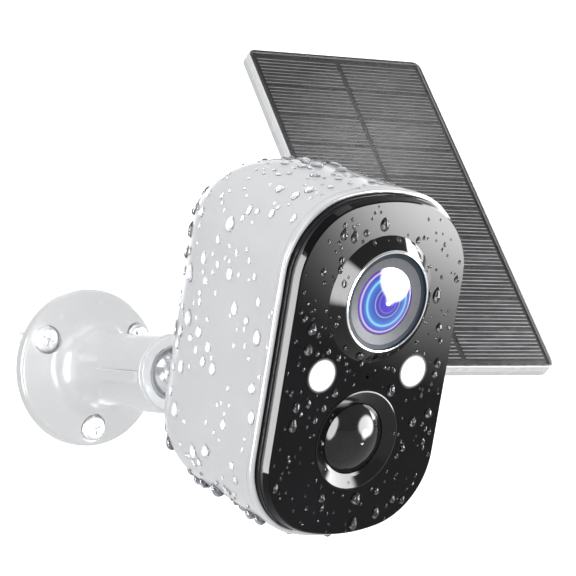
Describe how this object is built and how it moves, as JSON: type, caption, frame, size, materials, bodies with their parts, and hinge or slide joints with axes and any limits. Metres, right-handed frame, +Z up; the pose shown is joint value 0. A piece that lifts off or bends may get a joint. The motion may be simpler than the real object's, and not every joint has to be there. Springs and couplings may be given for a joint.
{
  "type": "solar security camera",
  "caption": "Outdoor security camera head with lens, motion dome and light windows on a ball-joint wall mount, beside a tilting solar panel on a mount of its own.",
  "frame": {"origin": "centre of the back face of the camera wall base, on the wall plane", "axes": "+Y into the wall, +X to the right when facing the wall, +Z up; the product stands out towards -Y"},
  "size_m": [0.1509, 0.1724, 0.1458],
  "materials": {
    "white_mount": "semi-gloss white",
    "white_housing": "glossy white",
    "white_panel": "semi-gloss white",
    "steel": "bright steel",
    "liner_nylon": "dull nylon",
    "brass": "turned",
    "face_black": "piano black",
    "gasket_rubber": "matt",
    "flap_rubber": "satin white",
    "silver_ring": "polished",
    "slate": "satin",
    "grey_ring": "satin",
    "coated_glass": "coated",
    "dome_dark": "glossy",
    "window_white": "translucent",
    "reflector": "bright",
    "board_green": "solder mask",
    "chip_black": "matt",
    "led_yellow": "phosphor",
    "inner_plastic": "moulded",
    "cell_wrap": "shrink wrap",
    "speaker_black": "matt",
    "button_grey": "satin",
    "backsheet_black": "satin",
    "solar_cell": "dark silicon",
    "cover_clear": "clear"
  },
  "bodies": {
    "wall_mounts": {"camera_wall_base": "white_mount", "camera_wall_screws": "steel", "panel_wall_base": "white_mount", "panel_wall_screws": "steel"},
    "camera_collar": {"camera_collar": "white_mount", "camera_lock_tab": "white_mount"},
    "camera_liner": {"camera_ball_liner": "liner_nylon"},
    "camera_stud": {"camera_ball_stud": "steel"},
    "camera_nut": {"camera_lock_nut": "steel"},
    "camera_head": {"housing_shell": "white_housing", "mount_insert": "brass", "face_plate": "face_black", "trim_ring": "face_black", "face_gasket": "gasket_rubber", "lens_bezel": "face_black", "lens_silver_ring": "silver_ring", "lens_slate_ring": "slate", "lens_barrel": "grey_ring", "lens_front_glass": "coated_glass", "lens_inner_glass": "coated_glass", "sensor_board": "board_green", "image_sensor": "chip_black", "lens_holder": "inner_plastic", "pir_bezel": "face_black", "pir_dome": "dome_dark", "pir_sensor": "steel", "led_window_left": "window_white", "led_reflector_left": "reflector", "led_window_right": "window_white", "led_reflector_right": "reflector", "led_chips": "led_yellow", "front_board": "board_green", "microphone": "chip_black", "inner_chassis": "inner_plastic", "housing_screws": "steel", "main_board": "board_green", "processor_shield": "steel", "antenna": "chip_black", "battery_cell_left": "cell_wrap", "battery_cell_right": "cell_wrap", "battery_cradle": "inner_plastic", "speaker": "speaker_black", "port_block": "inner_plastic", "usb_socket": "steel", "card_slot": "steel"},
    "port_cover": {"port_cover": "flap_rubber"},
    "reset_button": {"reset_button": "button_grey"},
    "power_button": {"power_button": "button_grey"},
    "memory_card": {"memory_card": "chip_black"},
    "panel_collar": {"panel_collar": "white_mount"},
    "panel_liner": {"panel_ball_liner": "liner_nylon"},
    "panel_stud": {"panel_ball_stud": "steel"},
    "panel_nut": {"panel_lock_nut": "steel"},
    "panel": {"panel_frame": "white_panel", "panel_backsheet": "backsheet_black", "solar_cells_left": "solar_cell", "solar_cells_right": "solar_cell", "panel_cover_sheet": "cover_clear", "junction_box": "white_panel"}
  },
  "joints": [
    {"name": "camera_collar_turn", "type": "hinge", "parent": "wall_mounts", "child": "camera_collar", "pos_m": [0, -0.047, 0], "axis": [0, -1, 0], "range_deg": [0, 90]},
    {"name": "camera_pan", "type": "hinge", "parent": "wall_mounts", "child": "camera_liner", "pos_m": [0, -0.047, 0], "axis": [0, 0, 1], "range_deg": [-24, 14]},
    {"name": "camera_tilt", "type": "hinge", "parent": "camera_liner", "child": "camera_stud", "pos_m": [0, -0.047, 0], "axis": [0.9976, 0.0698, 0], "range_deg": [-24, 10]},
    {"name": "camera_roll", "type": "hinge", "parent": "camera_stud", "child": "camera_head", "pos_m": [0, -0.047, 0], "axis": [0.0673, -0.9631, -0.2605], "range_deg": [-15, 15]},
    {"name": "camera_nut_turn", "type": "hinge", "parent": "camera_stud", "child": "camera_nut", "pos_m": [0, -0.047, 0], "axis": [0.0673, -0.9631, -0.2605], "range_deg": [0, 180]},
    {"name": "port_cover_hinge", "type": "hinge", "parent": "camera_head", "child": "port_cover", "pos_m": [0.00269, -0.08552, -0.03039], "axis": [0.9976, 0.0698, 0], "range_deg": [0, 110]},
    {"name": "reset_button_press", "type": "slide", "parent": "camera_head", "child": "reset_button", "axis": [0.0182, -0.2599, 0.9655], "range_m": [0, 0.0005], "stiffness_N_per_m": 900, "springref_m": -0.0008},
    {"name": "power_button_press", "type": "slide", "parent": "camera_head", "child": "power_button", "axis": [0.0182, -0.2599, 0.9655], "range_m": [0, 0.0005], "stiffness_N_per_m": 900, "springref_m": -0.0008},
    {"name": "memory_card_slide", "type": "slide", "parent": "camera_head", "child": "memory_card", "axis": [-0.0182, 0.2599, -0.9655], "range_m": [-0.0005, 0.0012]},
    {"name": "panel_collar_turn", "type": "hinge", "parent": "wall_mounts", "child": "panel_collar", "pos_m": [0.0877, -0.0329, 0.037], "axis": [0, -0.9397, 0.342], "range_deg": [0, 90]},
    {"name": "panel_pan", "type": "hinge", "parent": "wall_mounts", "child": "panel_liner", "pos_m": [0.0877, -0.0329, 0.037], "axis": [0, 0, 1], "range_deg": [-5, 5]},
    {"name": "panel_tilt", "type": "hinge", "parent": "panel_liner", "child": "panel_stud", "pos_m": [0.0877, -0.0329, 0.037], "axis": [0.9999, -0.014, 0], "range_deg": [-3, 30]},
    {"name": "panel_roll", "type": "hinge", "parent": "panel_stud", "child": "panel", "pos_m": [0.0877, -0.0329, 0.037], "axis": [-0.0111, -0.7943, 0.6074], "range_deg": [-4, 4]},
    {"name": "panel_nut_turn", "type": "hinge", "parent": "panel_stud", "child": "panel_nut", "pos_m": [0.0877, -0.0329, 0.037], "axis": [-0.0111, -0.7943, 0.6074], "range_deg": [0, 180]}
  ]
}
